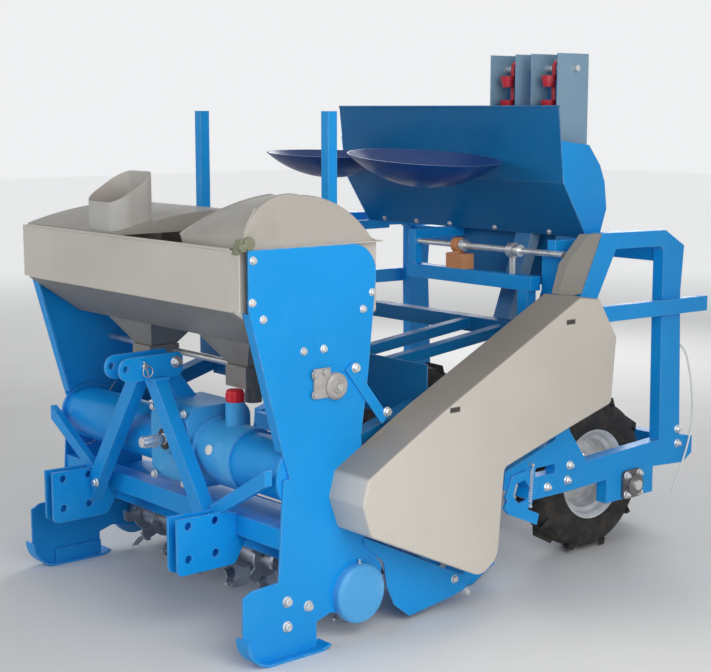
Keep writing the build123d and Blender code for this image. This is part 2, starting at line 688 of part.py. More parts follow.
rim_section = [(bead_r, rim_half - 2), (bead_r + 12, rim_half + 8), (bead_r + 12, rim_half + 13),
               (bead_r + 8, rim_half + 13), (bead_r - 5, rim_half), (bead_r - 9, 40), (bead_r - 26, 34),
               (bead_r - 30, 18), (132, 14), (126, 28), (92, 24), (86, 8), (46, 12), (46, 36), (axle_r, 36),
               (axle_r, -36), (46, -36), (46, 4), (90, 2), (96, 16), (122, 20), (128, 8), (bead_r - 30, 10),
               (bead_r - 26, -34), (bead_r - 9, -40), (bead_r - 5, -rim_half), (bead_r + 8, -rim_half - 13),
               (bead_r + 12, -rim_half - 13), (bead_r + 12, -rim_half - 8), (bead_r, -rim_half + 2),
               (bead_r - 4, -38), (bead_r - 20, -30), (bead_r - 20, 30), (bead_r - 4, 38)]
for name, sign in sides:
    hub = Plane(origin=at(sign * wheel_x, axle_y, axle_z), x_dir=(0, 0, 1), z_dir=(0, -sign, 0))
    spin = Axis(hub.origin, (1, 0, 0))
    with BuildPart() as rim:
        with BuildSketch(hub):
            Polygon(*rim_section, align=None)
        revolve(axis=spin)
    save(rim.part, f"rim_{name}")
    with BuildPart() as tyre:
        with BuildSketch(hub):
            with BuildLine():
                Polyline((bead_r + 12, -rim_half - 8), (bead_r, -rim_half + 2), (bead_r, rim_half - 2),
                         (bead_r + 12, rim_half + 8))
                ThreePointArc((bead_r + 12, rim_half + 8), (240, tyre_half), (294, 64))
                ThreePointArc((294, 64), (tyre_r - lug, 0), (294, -64))
                ThreePointArc((294, -64), (240, -tyre_half), (bead_r + 12, -rim_half - 8))
            make_face()
        revolve(axis=spin)
        for turn in range(lug_count):
            angle = radians(turn * 360 / lug_count)
            hand = 1 if turn % 2 else -1
            out = Plane(origin=hub.origin, x_dir=(1, 0, 0), z_dir=(0, sin(angle), cos(angle)))
            with BuildSketch(out.offset(tyre_r - lug - 16)):
                with Locations(Location((hand * 38, 0), hand * 40)):
                    Rectangle(98, 26)
            with BuildSketch(out.offset(tyre_r)):
                with Locations(Location((hand * 32, 0), hand * 40)):
                    Rectangle(78, 18)
            loft()
    save(tyre.part, f"tyre_{name}")

# Elevators: a U shaped channel for each row in the hopper, open in front, and a drop tube to the opener
divider_y = 1651.0
opener_y = 1204.0
knee_y = 1440.0
knee_z = 620.0
opener_top = 300.0
for number, x in enumerate(tower_xs, 1):
    with BuildPart() as tower:
        across([(tower_front, tower_top), (tower_back, tower_top), (tower_back, seed_foot + sheet),
                (1692.3, seed_foot + sheet), (tower_front, 1499)], x - tower_width / 2, x + tower_width / 2)
        across([(tower_front, tower_top), (tower_back - sheet, tower_top), (tower_back - sheet, seed_foot),
                (1600, seed_foot), (tower_front, seed_foot)],
               x - tower_width / 2 + sheet, x + tower_width / 2 - sheet, Mode.SUBTRACT)
        across([(divider_y, chain_foot + 50), (divider_y, chain_top - 50), (divider_y + sheet, chain_top - 50),
                (divider_y + sheet, chain_foot + 50)], x - tower_width / 2 + 1, x + tower_width / 2 - 1)
        for z in (chain_top, chain_foot):
            round_bar(chain_y, z, sprocket_shaft_r + running_fit, x - tower_width / 2, x + tower_width / 2,
                      Mode.SUBTRACT)
        across([(drop_front, seed_foot), (drop_back, seed_foot), (knee_y + 57, knee_z),
                (opener_y + 57, opener_top), (opener_y, opener_top), (knee_y, knee_z)],
               x - drop_half, x + drop_half)
        across([(drop_front + sheet, seed_foot), (drop_back - sheet, seed_foot), (knee_y + 57 - sheet, knee_z),
                (opener_y + 57 - sheet, opener_top), (opener_y + sheet, opener_top), (knee_y + sheet, knee_z)],
               x - drop_half + sheet, x + drop_half - sheet, Mode.SUBTRACT)
    save(tower.part, f"elevator_{number}")

# Cup belts: a chain over the sprockets with cups in front of the rising run
chain_half = 35.0
chain_thick = 4.0
cup_pitch = 92.0
cup_r = 31.0
with BuildPart() as cup_belts:
    for x in tower_xs:
        with BuildSketch(side.offset(x - 9)):
            with Locations((chain_y, (chain_top + chain_foot) / 2)):
                SlotOverall(chain_top - chain_foot + 2 * chain_half, 2 * chain_half, rotation=90)
                SlotOverall(chain_top - chain_foot + 2 * chain_half - 2 * chain_thick,
                            2 * chain_half - 2 * chain_thick, rotation=90, mode=Mode.SUBTRACT)
        extrude(amount=18)
        for step in range(4):
            z = chain_foot + 30 + step * cup_pitch
            cup_y = chain_y - chain_half - cup_r + 6
            with BuildSketch(top.offset(z)):
                with Locations((x, cup_y)):
                    Circle(0.7 * cup_r)
            with BuildSketch(top.offset(z + 42)):
                with Locations((x, cup_y)):
                    Circle(cup_r)
            loft()
            with BuildSketch(top.offset(z + 8)):
                with Locations((x, cup_y)):
                    Circle(0.65 * cup_r)
            with BuildSketch(top.offset(z + 42)):
                with Locations((x, cup_y)):
                    Circle(cup_r - 3)
            loft(mode=Mode.SUBTRACT)
save(cup_belts.part, "cup_belts")

# Sprocket shafts at the top and the foot of the elevators
for name, z in (("elevator_shaft_top", chain_top), ("elevator_shaft_foot", chain_foot)):
    with BuildPart() as elevator_shaft:
        round_bar(chain_y, z, sprocket_shaft_r, tower_xs[0] - tower_width / 2 - 12, tower_xs[1] + tower_width / 2 + 24)
        for x in tower_xs:
            round_bar(chain_y, z, sprocket_r, x - 6, x + 6)
    save(elevator_shaft.part, name)

# Chain guard: deep box on the left, open toward the machine
guard_outline = [(350, 513), (375, 600), (475, 655), (700, 775), (1390, 1108), (1495, 1095), (1598, 943),
                 (1577, 695), (1345, 633), (1007, 538), (978, 217), (899, 164), (388, 404)]
guard_round = 24.0
guard_low_round = 70.0
guard_low_z = 300.0


def guard_section(inset=0.0):
    """Outline of the guard with rounded corners, wider at the foot."""
    with BuildSketch(side.offset(half_width)) as section:
        Polygon(*guard_outline, align=None)
        fillet(vertices().filter_by(lambda corner: corner.Y < guard_low_z), guard_low_round)
        fillet(vertices().filter_by(lambda corner: corner.Y > guard_low_z), guard_round)
        if inset:
            offset(amount=-inset)
    return section.sketch


with BuildPart() as chain_guard:
    extrude(guard_section(), amount=guard_x - half_width)
    guard_edge = chain_guard.faces().sort_by(Axis.X)[-1].edges()
    fillet(guard_edge, 7)
    extrude(guard_section(sheet), amount=guard_x - half_width - 2 * sheet, mode=Mode.SUBTRACT)
    bar(1530, 880, 280, 800, half_width, frame_x, Mode.SUBTRACT)
save(chain_guard.part, "chain_guard")

# Shaft guard: folded band from the chain guard up the front of the hoop
with BuildPart() as shaft_guard:
    across([(1412, 1105.3), (1480, 1096.9), (1529, 1100), (1639, 1318), (1560, 1318), (1450, 1215)], 712, 756)
    across([(1416, 1090), (1484, 1090), (1525.5, 1108), (1632, 1322), (1561, 1313), (1454, 1213)],
           708, 752, Mode.SUBTRACT)
save(shaft_guard.part, "shaft_guard")

# Flat stay between the side plate and the chain guard
with BuildPart() as guard_stay:
    across([(418, 931), (446, 955), (606, 754), (578, 730)], half_width, half_width + 8)
save(guard_stay.part, "guard_stay")

# Furrow openers: a hollow shoe under each drop tube, held on the tool bar
with BuildPart() as furrow_openers:
    for x in tower_xs:
        with BuildSketch(side.offset(x - 50)):
            with BuildLine():
                Polyline((1175, 210), (1175, 445), (1191, 445), (1191, 330), (1285, 312), (1277, 60), (1185, 16))
                ThreePointArc((1185, 16), (1123, 10), (1097, 44))
                ThreePointArc((1097, 44), (1147, 100), (1175, 210))
            make_face()
        extrude(amount=100)
        across([(1195, 340), (1281, 340), (1273, 10), (1225, 10), (1195, 60)], x - 42, x + 42, Mode.SUBTRACT)
save(furrow_openers.part, "furrow_openers")

# Covering discs behind the wheels, each turning on an arm under the rear bar
disc_r = 190.0
disc_x = 250.0
disc_y = 2225.0
disc_z = disc_r + 6
disc_yaw = radians(22)
disc_pin_r = 16.0
rear_bar_z = 417.0
rear_bar_size = 50.0
disc_planes = {name: Plane(origin=at(sign * disc_x, disc_y, disc_z), x_dir=(0, 0, 1),
                           z_dir=(sign * cos(disc_yaw), -sin(disc_yaw), 0)) for name, sign in sides}
arm_length = rear_bar_z - rear_bar_size / 2 - disc_z
with BuildPart() as rear_bar:
    bar(disc_y, rear_bar_z, rear_bar_size, rear_bar_size, -frame_in, frame_in)
    for spin in disc_planes.values():
        with BuildSketch(spin.offset(-45)):
            with Locations(((arm_length - 30) / 2, 0)):
                Rectangle(arm_length + 30, 36)
        extrude(amount=14)
        with BuildSketch(spin.offset(-31)):
            Circle(24)
        extrude(amount=30)
        with BuildSketch(spin.offset(-1)):
            Circle(disc_pin_r)
        extrude(amount=12)
save(rear_bar.part, "rear_bar")

for name, spin in disc_planes.items():
    bore = disc_pin_r + running_fit
    with BuildPart() as covering_disc:
        with BuildSketch(Plane(origin=spin.origin, x_dir=(0, 0, 1), z_dir=spin.x_dir.cross(spin.z_dir))):
            with BuildLine():
                Line((bore, 0), (bore, 5))
                ThreePointArc((bore, 5), (disc_r * 0.55, 16), (disc_r, 42))
                Line((disc_r, 42), (disc_r, 37))
                ThreePointArc((disc_r, 37), (disc_r * 0.55, 11), (bore, 0))
            make_face()
        revolve(axis=Axis(spin.origin, spin.z_dir))
    save(covering_disc.part, f"covering_disc_{name}")

# Loose cable from the left rear post, hanging down to its bare end
cable_r = 4.0
cable_route = [(748, 2136.5, 850), (756, 2175, 822), (768, 2193, 738), (776, 2203, 650), (782, 2205, 560),
               (782, 2193, 472), (780, 2165, 390), (776, 2131, 312), (772, 2094, 237)]
places = [at(*point) for point in cable_route]
runs = [after - before for before, after in zip(places, places[1:])]
bends = []
for before, after in zip(runs, runs[1:]):
    half_turn = radians(before.get_angle(after)) / 2
    bends.append(0.45 * min(before.length, after.length) / (sin(half_turn) / cos(half_turn)))
print("cable bend radii", [round(bend, 1) for bend in bends], "length", round(sum(run.length for run in runs)))
with BuildPart() as cable:
    with BuildLine() as route:
        FilletPolyline(*places, radius=bends)
    with BuildSketch(Plane(origin=places[0], z_dir=runs[0].normalized())):
        Circle(cable_r)
    sweep(path=route.line)
save(cable.part, "cable")
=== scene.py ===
"""Looks of a potato planter with a rotary tiller in front and a cup elevator seed hopper behind."""

import math

import bmesh
import bpy
from bpy.props import FloatProperty, FloatVectorProperty, PointerProperty
from mathutils import Matrix, Vector


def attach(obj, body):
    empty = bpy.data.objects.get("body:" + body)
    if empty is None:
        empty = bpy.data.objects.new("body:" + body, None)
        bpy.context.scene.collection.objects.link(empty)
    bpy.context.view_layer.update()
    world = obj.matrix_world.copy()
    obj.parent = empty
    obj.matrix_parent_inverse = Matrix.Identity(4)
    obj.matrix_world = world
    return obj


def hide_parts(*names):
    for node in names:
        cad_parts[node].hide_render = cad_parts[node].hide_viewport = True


bl_info = {
    "name": "Potato planter looks",
    "version": (1, 1, 0),
    "blender": (4, 5, 0),
    "location": "3D View > Sidebar > Planter",
    "description": "Finishes, fasteners, fittings and stage for the packed potato planter",
    "category": "Object",
}

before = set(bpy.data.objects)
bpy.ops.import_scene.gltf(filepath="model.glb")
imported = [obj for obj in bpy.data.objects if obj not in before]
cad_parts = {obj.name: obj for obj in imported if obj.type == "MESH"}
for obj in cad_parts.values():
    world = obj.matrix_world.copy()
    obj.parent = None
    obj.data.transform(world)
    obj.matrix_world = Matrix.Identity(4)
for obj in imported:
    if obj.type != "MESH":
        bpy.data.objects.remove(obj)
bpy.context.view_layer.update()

# The planter's middle plane and the front of its hopper in the frame, in metres
MIDDLE_X = -0.035
FRONT_Y = -1.163

LEFT = Vector((1, 0, 0))
AHEAD = Vector((0, -1, 0))
UP = Vector((0, 0, 1))

# Outer faces on each side, in millimetres from the middle plane
MAST_FACE = 51.5
PLATE_FACE = 699.5
CHEEK_FACE = 705.5
STAY_FACE = 707.5
FRAME_FACE = 759.5
WHEEL_BEARING_FACE = 773.5
RIM_DISC_FACE = 512
GUARD_FACE = 875

# Axes that run across the planter, as (y, z) in millimetres
AXLE = (1844, 320)
METERING_SHAFT = (373, 885)
LID_HINGE = (560, 1358)

# Places on the drive in millimetres: the stub shaft's axis as (x, z) and the filler cap as (x, y)
STUB_SHAFT = (90, 640)
FILLER_CAP = (316, 250)

# Half the width of the fertilizer hopper and the height of its edge, in millimetres
HOPPER_HALF = 640
HOPPER_EDGE = 1350

# Colours of the backdrop, of the paint's rubbed edges and scuffs, and of the painted shade in the
# cut slots
BACKDROP = (0.86, 0.87, 0.88, 1.0)
RUBBED = (0.70, 0.80, 0.88)
SCUFFED = (0.75, 0.77, 0.80)
SLOT_PAINTED_SHADE = (0.05, 0.045, 0.04)
RUST = (0.20, 0.07, 0.025)
MUD = (0.17, 0.135, 0.10)
PLASTIC_DUST = (0.45, 0.42, 0.38)

SENSOR_WIDTH = 36.0
FLOOR_HALF = 30.0


def spot(x, y, z):
    """A place given in millimetres from the middle plane, the hopper front and the ground."""
    return Vector((MIDDLE_X + x / 1000, FRONT_Y + y / 1000, z / 1000))


# Settings of the panel


class PlanterFinishSettings(bpy.types.PropertyGroup):
    blue: FloatVectorProperty(
        name="Blue paint", description="Paint of the frame and side plates", subtype="COLOR",
        size=3, min=0, max=1, default=(0.004, 0.31, 0.78))
    # Painted shade: a darker copy of the blue paint that stands in for the shade on the seed
    # hopper's sheets
    painted_shade_blue: FloatVectorProperty(
        name="Blue with painted shade", description="Blue darkened as painted shade on the seed hopper's sheets", subtype="COLOR",
        size=3, min=0, max=1, default=(0.002, 0.135, 0.34))
    royal_blue: FloatVectorProperty(
        name="Royal blue", description="Colour of the dished lips", subtype="COLOR",
        size=3, min=0, max=1, default=(0.002, 0.042, 0.20))
    grey: FloatVectorProperty(
        name="Grey paint", description="Paint of the fertilizer hopper and the guard",
        subtype="COLOR", size=3, min=0, max=1, default=(0.60, 0.56, 0.50))
    red: FloatVectorProperty(
        name="Red", description="Colour of the cups", subtype="COLOR",
        size=3, min=0, max=1, default=(0.50, 0.02, 0.04))
    wear: FloatProperty(
        name="Wear", description="How much the edges and scuffs show", subtype="FACTOR",
        min=0, max=1, default=0.5)


class PlanterFittingSettings(bpy.types.PropertyGroup):
    bolt: FloatProperty(
        name="Bolt", description="Diameter of a common bolt", subtype="DISTANCE", unit="LENGTH",
        min=0.004, max=0.04, default=0.016)
    edge: FloatProperty(
        name="Rolled edge", description="Radius of the rolled sheet edges", subtype="DISTANCE",
        unit="LENGTH", min=0.001, max=0.02, default=0.005)


class PlanterStageSettings(bpy.types.PropertyGroup):
    camera_place: FloatVectorProperty(
        name="Camera place", description="Where the camera stands", subtype="TRANSLATION",
        unit="LENGTH", size=3, default=(4.303, -3.808, 1.784))
    camera_turn: FloatProperty(
        name="Camera turn", description="Heading of the camera about the vertical",
        subtype="ANGLE", unit="ROTATION", default=math.radians(49.465))
    camera_tilt: FloatProperty(
        name="Camera tilt", description="Tilt of the camera from straight down",
        subtype="ANGLE", unit="ROTATION", default=math.radians(81.17))
    lens: FloatProperty(
        name="Lens", description="Focal length on a 36 mm wide sensor", min=10, max=300,
        default=74.16)
    fill: FloatProperty(
        name="Fill", description="Strength of the even light from all round", min=0, max=3,
        default=0.26)
    key: FloatProperty(
        name="Key", description="Power of the lamp on the planter's left, which the others follow",
        min=0, max=5000, unit="POWER", default=82.0)
    floor: FloatVectorProperty(
        name="Floor", description="Colour of the floor", subtype="COLOR",
        size=3, min=0, max=1, default=(0.80, 0.79, 0.77))


# Materials


class Shader:
    """A node material under construction."""

    def __init__(self, name, **sockets):
        self.material = bpy.data.materials.new(name)
        self.material.use_nodes = True
        self.tree = self.material.node_tree
        self.surface = self.tree.nodes["Principled BSDF"]
        for socket, value in sockets.items():
            self.surface.inputs[socket.replace("_", " ")].default_value = value
        self.place = self.add("ShaderNodeTexCoord").outputs["Object"]

    def add(self, kind, links=(), **settings):
        """One node; settings set its properties and links feed its sockets."""
        node = self.tree.nodes.new(kind)
        for key, value in settings.items():
            setattr(node, key, value)
        for socket, source in dict(links).items():
            self.feed(node, socket, source)
        return node

    def feed(self, node, socket, source):
        """A socket linked to another one, or set to a plain value."""
        if isinstance(source, bpy.types.NodeSocket):
            self.tree.links.new(source, node.inputs[socket])
        else:
            node.inputs[socket].default_value = source

    def noise(self, scale, detail=3.0, rough=0.5):
        node = self.add("ShaderNodeTexNoise", {"Vector": self.place, "Scale": scale,
                                               "Detail": detail, "Roughness": rough})
        return node.outputs["Fac"]

    def spread(self, value, low, high, to_low=0.0, to_high=1.0):
        """A value's range from low to high, spread over another range and held at its ends."""
        node = self.add("ShaderNodeMapRange", {"Value": value, "From Min": low, "From Max": high,
                                               "To Min": to_low, "To Max": to_high})
        return node.outputs["Result"]

    def blend(self, factor, one, two):
        """One colour at a factor of 0 and the other at 1."""
        node = self.add("ShaderNodeMix", data_type="RGBA")
        factor_socket, colour_one, colour_two, colour_out = 0, 6, 7, 2
        self.feed(node, factor_socket, factor)
        self.feed(node, colour_one, one)
        self.feed(node, colour_two, two)
        return node.outputs[colour_out]

    def maths(self, one, two, way="MULTIPLY"):
        return self.add("ShaderNodeMath", {0: one, 1: two}, operation=way).outputs[0]

    def rounded(self, radius):
        """The normal that edges rounded by the radius would have."""
        return self.add("ShaderNodeBevel", {"Radius": radius}, samples=4).outputs["Normal"]

    def edges(self, radius, full=0.08):
        """1 along hard edges and 0 on flats, from the rounded and the plain normal."""
        plain = self.add("ShaderNodeNewGeometry").outputs["Normal"]
        same = self.add("ShaderNodeVectorMath", {0: self.rounded(radius), 1: plain},
                        operation="DOT_PRODUCT").outputs["Value"]
        return self.spread(self.maths(1.0, same, "SUBTRACT"), 0.0, full)

    def facing(self, axis, low=0.3, high=0.95):
        """1 on surfaces that face along an axis (X, Y or Z) and 0 on the rest."""
        normal = self.add("ShaderNodeNewGeometry").outputs["Normal"]
        part = self.add("ShaderNodeSeparateXYZ", {0: normal}).outputs[axis]
        return self.spread(part, low, high)

    def near(self, centre, half, soft=0.004):
        """1 within a box of the given half sizes about a place, and 0 outside it."""
        offset = self.add("ShaderNodeVectorMath", {0: self.place, 1: centre},
                          operation="SUBTRACT").outputs[0]
        across = self.add("ShaderNodeVectorMath", {0: offset}, operation="ABSOLUTE").outputs[0]
        parts = self.add("ShaderNodeSeparateXYZ", {0: across}).outputs
        inside = [self.spread(part, size, size + soft, 1.0, 0.0)
                  for part, size in zip(parts, half)]
        return self.maths(self.maths(inside[0], inside[1]), inside[2])

    def bump(self, *layers, rounding):
        """Bump layers of (height, distance in metres) over edges rounded by the given radius."""
        normal = self.rounded(rounding)
        for height, distance in layers:
            node = self.add("ShaderNodeBump", {"Height": height, "Distance": distance,
                                               "Strength": 1.0, "Normal": normal})
            normal = node.outputs["Normal"]
        self.feed(self.surface, "Normal", normal)


def rgba(colour, by=1.0):
    """A colour made lighter or darker by a factor, with full alpha."""
    return (*[min(1.0, channel * by) for channel in colour], 1.0)


def painted_sheet(name, colour, wear, gloss=0.32, dust=(0.55, 0.50, 0.44), dust_amount=0.25,
                  cast=0.0, top_painted_shade=0.0, shaded_slots=(), shine=0.4, left_face_painted_light=0.0):
    """Sprayed paint: slow tone drift, dust in patches, pale rubbed edges, orange peel; where asked,
    painted shade on upward faces and in cut slots, and painted light on faces toward +X.
    """
    s = Shader(name, Coat_Weight=0.4 * shine, Coat_Roughness=0.2, Specular_IOR_Level=shine)
    drift = s.spread(s.noise(1.7, 2.0), 0.3, 0.7)
    base = s.blend(drift, rgba(colour, 0.93), rgba(colour, 1.07))
    patches = s.spread(s.noise(5.5, 6.0, 0.62), 0.52, 0.78, 0.0, dust_amount)
    base = s.blend(patches, base, rgba(dust))
    # Painted shade: upward faces darkened towards a darker dust colour
    if top_painted_shade:
        base = s.blend(s.maths(s.facing("Z"), top_painted_shade), base, rgba(dust, 0.55))
    # Painted light: faces toward the planter's left (+X), the key lamp's side, paled towards the
    # dust colour
    if left_face_painted_light:
        base = s.blend(s.maths(s.facing("X"), left_face_painted_light), base, rgba(dust, 1.15))
    scuffs = s.spread(s.noise(46.0, 8.0, 0.7), 0.66, 0.74, 0.0, 0.35 * wear)
    base = s.blend(scuffs, base, rgba(SCUFFED))
    worn = s.spread(s.noise(23.0, 5.0, 0.65), 0.38, 0.66, 0.05, 0.75 * wear)
    base = s.blend(s.maths(s.edges(0.004), worn), base, rgba(RUBBED))
    # Painted shade: dark patches where slots are cut, which stand in for the shade inside them
    for place, half in shaded_slots:
        base = s.blend(s.near(place, half), base, rgba(SLOT_PAINTED_SHADE))
    s.feed(s.surface, "Base Color", base)
    rough = s.spread(s.noise(9.0, 5.0, 0.6), 0.3, 0.75, gloss, gloss + 0.22)
    s.feed(s.surface, "Roughness", rough)
    layers = [(s.noise(170.0, 2.0), 0.00018), (s.noise(6.0, 3.0), 0.0016)]
    if cast:
        layers.append((s.noise(62.0, 5.0, 0.7), cast))
    s.bump(*layers, rounding=0.003)
    return s.material


def bare_metal(name, colour, rough=0.34, rust=0.0, shine=1.0):
    """Zinc or ground steel with stains, and rust where it is asked for."""
    s = Shader(name, Metallic=shine)
    cloud = s.spread(s.noise(11.0, 5.0, 0.6), 0.3, 0.7)
    base = s.blend(cloud, rgba(colour, 0.72), rgba(colour, 1.1))
    if rust:
        stain = s.spread(s.noise(17.0, 8.0, 0.66), 0.62 - rust * 0.3, 0.72)
        base = s.blend(s.maths(stain, min(1.0, rust * 1.6)), base, rgba(RUST))
    s.feed(s.surface, "Base Color", base)
    polish = s.spread(s.noise(28.0, 6.0, 0.6), 0.25, 0.75, rough - 0.12, rough + 0.22)
    s.feed(s.surface, "Roughness", polish)
    s.bump((s.noise(210.0, 3.0, 0.6), 0.0002), (s.noise(30.0, 4.0), 0.0005), rounding=0.0015)
    return s.material


def rubber(name, colour):
    """Tyre rubber with dry mud in patches."""
    s = Shader(name, Specular_IOR_Level=0.3)
    base = s.blend(s.spread(s.noise(7.0, 4.0), 0.3, 0.7), rgba(colour, 0.8), rgba(colour, 1.3))
    mud = s.spread(s.noise(13.0, 8.0, 0.7), 0.46, 0.74, 0.0, 0.4)
    base = s.blend(mud, base, rgba(MUD))
    s.feed(s.surface, "Base Color", base)
    s.feed(s.surface, "Roughness", s.spread(s.noise(31.0, 5.0), 0.3, 0.7, 0.62, 0.88))
    s.bump((s.noise(120.0, 6.0, 0.7), 0.0008), (s.noise(420.0, 3.0), 0.0002), rounding=0.003)
    return s.material


def plastic(name, colour, gloss=0.4, soft=0.0):
    """Moulded plastic with a fine grain and light dust."""
    s = Shader(name, Specular_IOR_Level=0.45, Subsurface_Weight=soft)
    base = s.blend(s.spread(s.noise(4.0, 4.0), 0.3, 0.7), rgba(colour, 0.9), rgba(colour, 1.1))
    dust = s.spread(s.noise(12.0, 7.0, 0.66), 0.55, 0.8, 0.0, 0.3)
    base = s.blend(dust, base, rgba(PLASTIC_DUST))
    s.feed(s.surface, "Base Color", base)
    s.feed(s.surface, "Roughness", s.spread(s.noise(20.0, 4.0), 0.3, 0.7, gloss, gloss + 0.2))
    s.bump((s.noise(300.0, 3.0), 0.0003), rounding=0.002)
    return s.material


def guard_slot_shade():
    """The two slots in the guard's face, painted dark as the shade inside them, as places and half
    sizes in metres.
    """
    half = (0.02, 0.022, 0.007)
    return [(tuple(spot(GUARD_FACE, y, z)), half) for y, z in ((759, 779), (1338, 1024))]


def make_finishes(settings):
    """Every paint, metal, rubber and plastic of the planter by its short name, some paints as
    darker copies that stand in as painted shade.
    """
    wear, grey = settings.wear, settings.grey
    smooth = wear * 0.6
    # Darker copies of the grey paint as painted shade: 0.72 for the lids, 0.5 for the shaft guard,
    # 0.42 for the chutes and metering box
    lid_shade, shade, deep_shade = ([channel * by for channel in grey] for by in (0.72, 0.5, 0.42))
    return {
        "blue": painted_sheet("blue_paint", settings.blue, wear, dust=(0.05, 0.40, 0.80),
                              dust_amount=0.3, shine=0.28),
        "cast_blue": painted_sheet("blue_paint_on_casting", (0.05, 0.38, 0.78), wear, gloss=0.45,
                                   cast=0.0022, dust=(0.22, 0.58, 0.86), dust_amount=0.55),
        "wrapped_blue": painted_sheet("blue_paint_under_film", (0.08, 0.40, 0.80), wear, gloss=0.3,
                                      cast=0.004, dust=(0.36, 0.68, 0.92), dust_amount=0.6),
        # Painted shade: the darker blue copy for the seed hopper's sheets, cross panel and upper
        # frame
        "painted_shade_blue": painted_sheet("deep_blue_paint", settings.painted_shade_blue, wear, gloss=0.36,
                                   dust=(0.03, 0.19, 0.34), shine=0.25),
        # Painted light: the tower's faces toward +X are paled
        "tower": painted_sheet("tower_paint", (0.04, 0.19, 0.42), wear, gloss=0.4,
                               dust=(0.26, 0.38, 0.46), dust_amount=0.6, left_face_painted_light=0.7),
        "royal": painted_sheet("royal_blue_paint", settings.royal_blue, smooth, gloss=0.26,
                               dust=(0.02, 0.08, 0.26), shine=0.22),
        # Painted shade on the upward faces of the hopper, the lids and the guard
        "grey": painted_sheet("grey_paint", grey, smooth, gloss=0.42, dust=(0.42, 0.36, 0.30),
                              dust_amount=0.18, top_painted_shade=0.35),
        # Painted shade: the lids', chutes' and shaft guard's greys below are the darker copies
        "lid_grey_painted_shade": painted_sheet("grey_paint_of_lids_with_painted_shade", lid_shade, smooth, gloss=0.45,
                                  dust=(0.30, 0.27, 0.24), dust_amount=0.35, top_painted_shade=0.4),
        # The guard's two slots get painted shade
        "guard": painted_sheet("grey_paint_of_guard", grey, smooth, gloss=0.42,
                               dust=(0.42, 0.36, 0.30), dust_amount=0.2, top_painted_shade=0.85,
                               shaded_slots=guard_slot_shade()),
        "funnel": painted_sheet("grey_paint_dusty_with_painted_shade", deep_shade, smooth, gloss=0.5,
                                dust=(0.16, 0.13, 0.12), dust_amount=0.5),
        "shade_grey": painted_sheet("grey_paint_in_shade", shade, smooth, gloss=0.45,
                                    dust=(0.30, 0.26, 0.23), dust_amount=0.3),
        "tan": painted_sheet("tan_paint", (0.66, 0.27, 0.10), wear, gloss=0.5, cast=0.001,
                             dust=(0.75, 0.60, 0.42)),
        "olive": painted_sheet("olive_paint", (0.16, 0.17, 0.09), wear, gloss=0.5),
        "steel": bare_metal("zinc_steel", (0.78, 0.78, 0.77), rough=0.3, shine=0.8),
        "dark_steel": bare_metal("dark_steel", (0.24, 0.23, 0.23), rough=0.45, rust=0.25),
        "blade": bare_metal("blade_steel", (0.50, 0.53, 0.58), rough=0.4, rust=0.12),
        "rim": bare_metal("rim_steel", (0.88, 0.87, 0.85), rough=0.56, shine=0.25),
        "housing": bare_metal("pale_housing", (0.50, 0.48, 0.46), rough=0.5, rust=0.2, shine=0.2),
        "tyre": rubber("tyre_rubber", (0.030, 0.028, 0.027)),
        "red": plastic("red_plastic", settings.red, gloss=0.3),
        "cap_red": plastic("cap_plastic", (0.72, 0.01, 0.03), gloss=0.3),
        "white": plastic("white_plastic", (0.78, 0.78, 0.76), gloss=0.35),
        "pale": plastic("pale_plastic", (0.50, 0.48, 0.45), gloss=0.42, soft=0.1),
        "dark": plastic("dark_plastic", (0.035, 0.033, 0.034)),
    }


# Which finish each CAD node gets: the first row whose word starts the node's name
NODE_FINISHES = (
    ("tyre", "tyre"), ("rim", "rim"), ("axle_bearing", "dark_steel"), ("axle", "steel"),
    # The metering box, chutes, lids and shaft guard take darker grey copies, as painted shade
    ("metering_shaft", "steel"), ("metering_box", "funnel"), ("input_shaft", "steel"),
    ("elevator_shaft", "steel"), ("elevator", "tower"), ("fertilizer_hopper", "grey"),
    ("hopper_chutes", "funnel"), ("lid", "lid_grey_painted_shade"), ("loose_shroud", "pale"),
    ("chain_guard", "guard"), ("shaft_guard", "shade_grey"), ("feed_shaft", "steel"),
    # Painted shade: the under sheet is a guard sheet beneath the seed hopper, dark blue so that it
    # stands in for the shade under the hopper
    ("feed_bearing", "tan"), ("feed_support", "steel"), ("under_sheet", "painted_shade_blue"),
    ("cup_belt", "red"), ("covering_disc", "blade"), ("hopper_lip", "royal"),
    # Painted shade: the seed hopper, its cross panel and upper frame take the darker blue copy,
    # while its ends and stand keep the plain blue
    ("seed_hopper_ends", "blue"), ("seed_hopper_stand", "blue"), ("seed_hopper", "painted_shade_blue"),
    ("cross_panel", "painted_shade_blue"), ("upper_frame", "painted_shade_blue"), ("rotor_hood", "blue"),
    ("rotor_bearing", "wrapped_blue"), ("rotor", "blade"), ("gearbox", "cast_blue"),
    ("cable", "white"), ("", "blue"),
)

finishes = {}


# Shapes


def seat(place, out=UP, turn=0.0):
    """Matrix that stands a shape on a place, with its z axis pointing out."""
    facing = Vector(out).to_track_quat("Z", "Y").to_matrix().to_4x4()
    return Matrix.Translation(place) @ facing @ Matrix.Rotation(turn, 4, "Z")


def ring_turns(count, start=0.0):
    """Angles of a number of places spread evenly round a circle."""
    return [math.tau * step / count + start for step in range(count)]


def rolled(radius, height, edge):
    """Profile of a short cylinder with a rounded upper edge, as (radius, height) points."""
    turns = [math.radians(step * 22.5) for step in range(5)]
    rounded = [(radius - edge + edge * math.sin(turn), height - edge + edge * math.cos(turn))
               for turn in turns]
    return [(0.0, height), *rounded, (radius, 0.0)]


